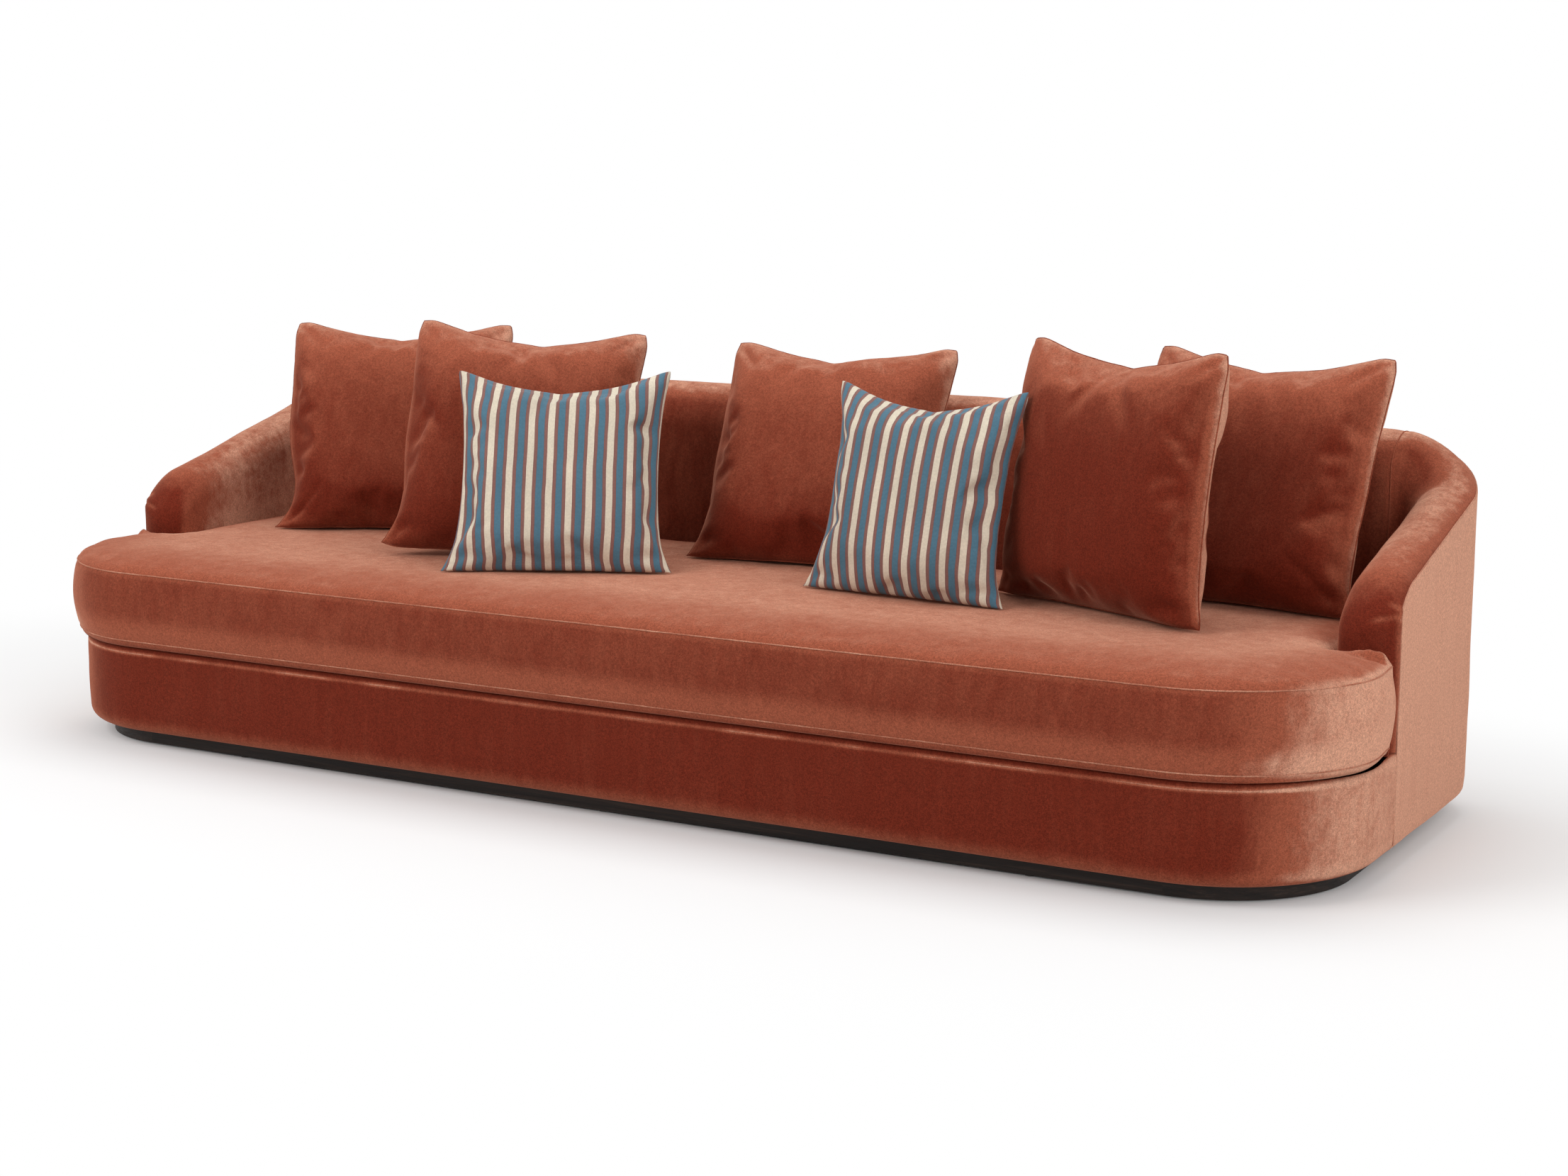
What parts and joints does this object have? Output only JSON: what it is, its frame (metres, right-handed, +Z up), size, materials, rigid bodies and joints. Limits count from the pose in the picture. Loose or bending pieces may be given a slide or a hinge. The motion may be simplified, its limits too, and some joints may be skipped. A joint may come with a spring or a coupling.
{
  "type": "straight sofa",
  "caption": "Long low sofa with a back that sweeps down into sloping arms, a T-shaped bench cushion, loose velvet and striped cushions and a recessed wood plinth.",
  "frame": {"origin": "on the floor, under the middle of the sofa's overall box", "axes": "+X runs along the sofa to the right as seen from the front, -Y is the front, +Z is up"},
  "size_m": [2.956, 1.013, 0.9185],
  "materials": {
    "velvet": "rust mohair velvet with a short dense pile",
    "striped_cloth": "woven cotton with blue, cream and red-brown stripes",
    "stained_wood": "dark stained, satin, open grain",
    "felt": "pressed wool felt",
    "foam": "upholstery foam",
    "feather_pad": "white cotton pad",
    "board": "raw plywood",
    "frame_wood": "raw planed softwood",
    "webbing": "elastic woven strap",
    "deck_felt": "padded platform cloth",
    "dust_cloth": "black non-woven cloth"
  },
  "bodies": {
    "sofa": {"arm_front_posts": "frame_wood", "arm_top_rails": "frame_wood", "back_board": "board", "back_padding": "foam", "back_posts": "frame_wood", "back_top_rail": "frame_wood", "base_cross_rails": "frame_wood", "base_end_rails": "frame_wood", "base_front_corner_formers": "frame_wood", "base_front_rail": "frame_wood", "base_rear_corner_formers": "frame_wood", "base_rear_rail": "frame_wood", "border_cover": "velvet", "border_front_pad": "foam", "border_left_pad": "foam", "border_right_pad": "foam", "cross_straps": "webbing", "dust_cover": "dust_cloth", "felt_glides": "felt", "inside_back_cover": "velvet", "left_arm_board": "board", "left_arm_inside_cover": "velvet", "left_arm_padding": "foam", "left_corner_board": "board", "left_corner_padding": "foam", "long_straps": "webbing", "outside_cover": "velvet", "plinth_front_left_corner": "stained_wood", "plinth_front_rail": "stained_wood", "plinth_front_right_corner": "stained_wood", "plinth_left_rail": "stained_wood", "plinth_rear_left_corner": "stained_wood", "plinth_rear_rail": "stained_wood", "plinth_rear_right_corner": "stained_wood", "plinth_right_rail": "stained_wood", "right_arm_board": "board", "right_arm_inside_cover": "velvet", "right_arm_padding": "foam", "right_corner_board": "board", "right_corner_padding": "foam", "seat_deck": "deck_felt"},
    "bench_cushion": {"bench_cushion_cover": "velvet", "bench_front_foam": "foam", "bench_rear_foam": "foam"},
    "left_rear_cushion": {"left_rear_cushion_cover": "velvet", "left_rear_cushion_pad": "feather_pad"},
    "left_front_cushion": {"left_front_cushion_cover": "velvet", "left_front_cushion_pad": "feather_pad"},
    "left_striped_cushion": {"left_striped_cushion_cover": "striped_cloth", "left_striped_cushion_pad": "feather_pad"},
    "centre_cushion": {"centre_cushion_cover": "velvet", "centre_cushion_pad": "feather_pad"},
    "right_striped_cushion": {"right_striped_cushion_cover": "striped_cloth", "right_striped_cushion_pad": "feather_pad"},
    "right_front_cushion": {"right_front_cushion_cover": "velvet", "right_front_cushion_pad": "feather_pad"},
    "right_rear_cushion": {"right_rear_cushion_cover": "velvet", "right_rear_cushion_pad": "feather_pad"}
  },
  "joints": [
    {"name": "bench_cushion_lift", "type": "slide", "parent": "sofa", "child": "bench_cushion", "axis": [0, 0, 1], "range_m": [0, 0.55]},
    {"name": "left_rear_cushion_lift", "type": "slide", "parent": "bench_cushion", "child": "left_rear_cushion", "axis": [-0.1748, 0.402, 0.8988], "range_m": [0, 0.6]},
    {"name": "left_front_cushion_lift", "type": "slide", "parent": "bench_cushion", "child": "left_front_cushion", "axis": [-0.0708, 0.3873, 0.9192], "range_m": [0, 0.6]},
    {"name": "left_striped_cushion_lift", "type": "slide", "parent": "bench_cushion", "child": "left_striped_cushion", "axis": [0, 0, 1], "range_m": [0, 0.6]},
    {"name": "centre_cushion_lift", "type": "slide", "parent": "bench_cushion", "child": "centre_cushion", "axis": [0, 0, 1], "range_m": [0, 0.6]},
    {"name": "right_striped_cushion_lift", "type": "slide", "parent": "bench_cushion", "child": "right_striped_cushion", "axis": [0, 0, 1], "range_m": [0, 0.6]},
    {"name": "right_front_cushion_lift", "type": "slide", "parent": "bench_cushion", "child": "right_front_cushion", "axis": [0.0578, 0.1361, 0.989], "range_m": [0, 0.6]},
    {"name": "right_rear_cushion_lift", "type": "slide", "parent": "bench_cushion", "child": "right_rear_cushion", "axis": [0.0548, 0.3459, 0.9367], "range_m": [0, 0.6]}
  ]
}
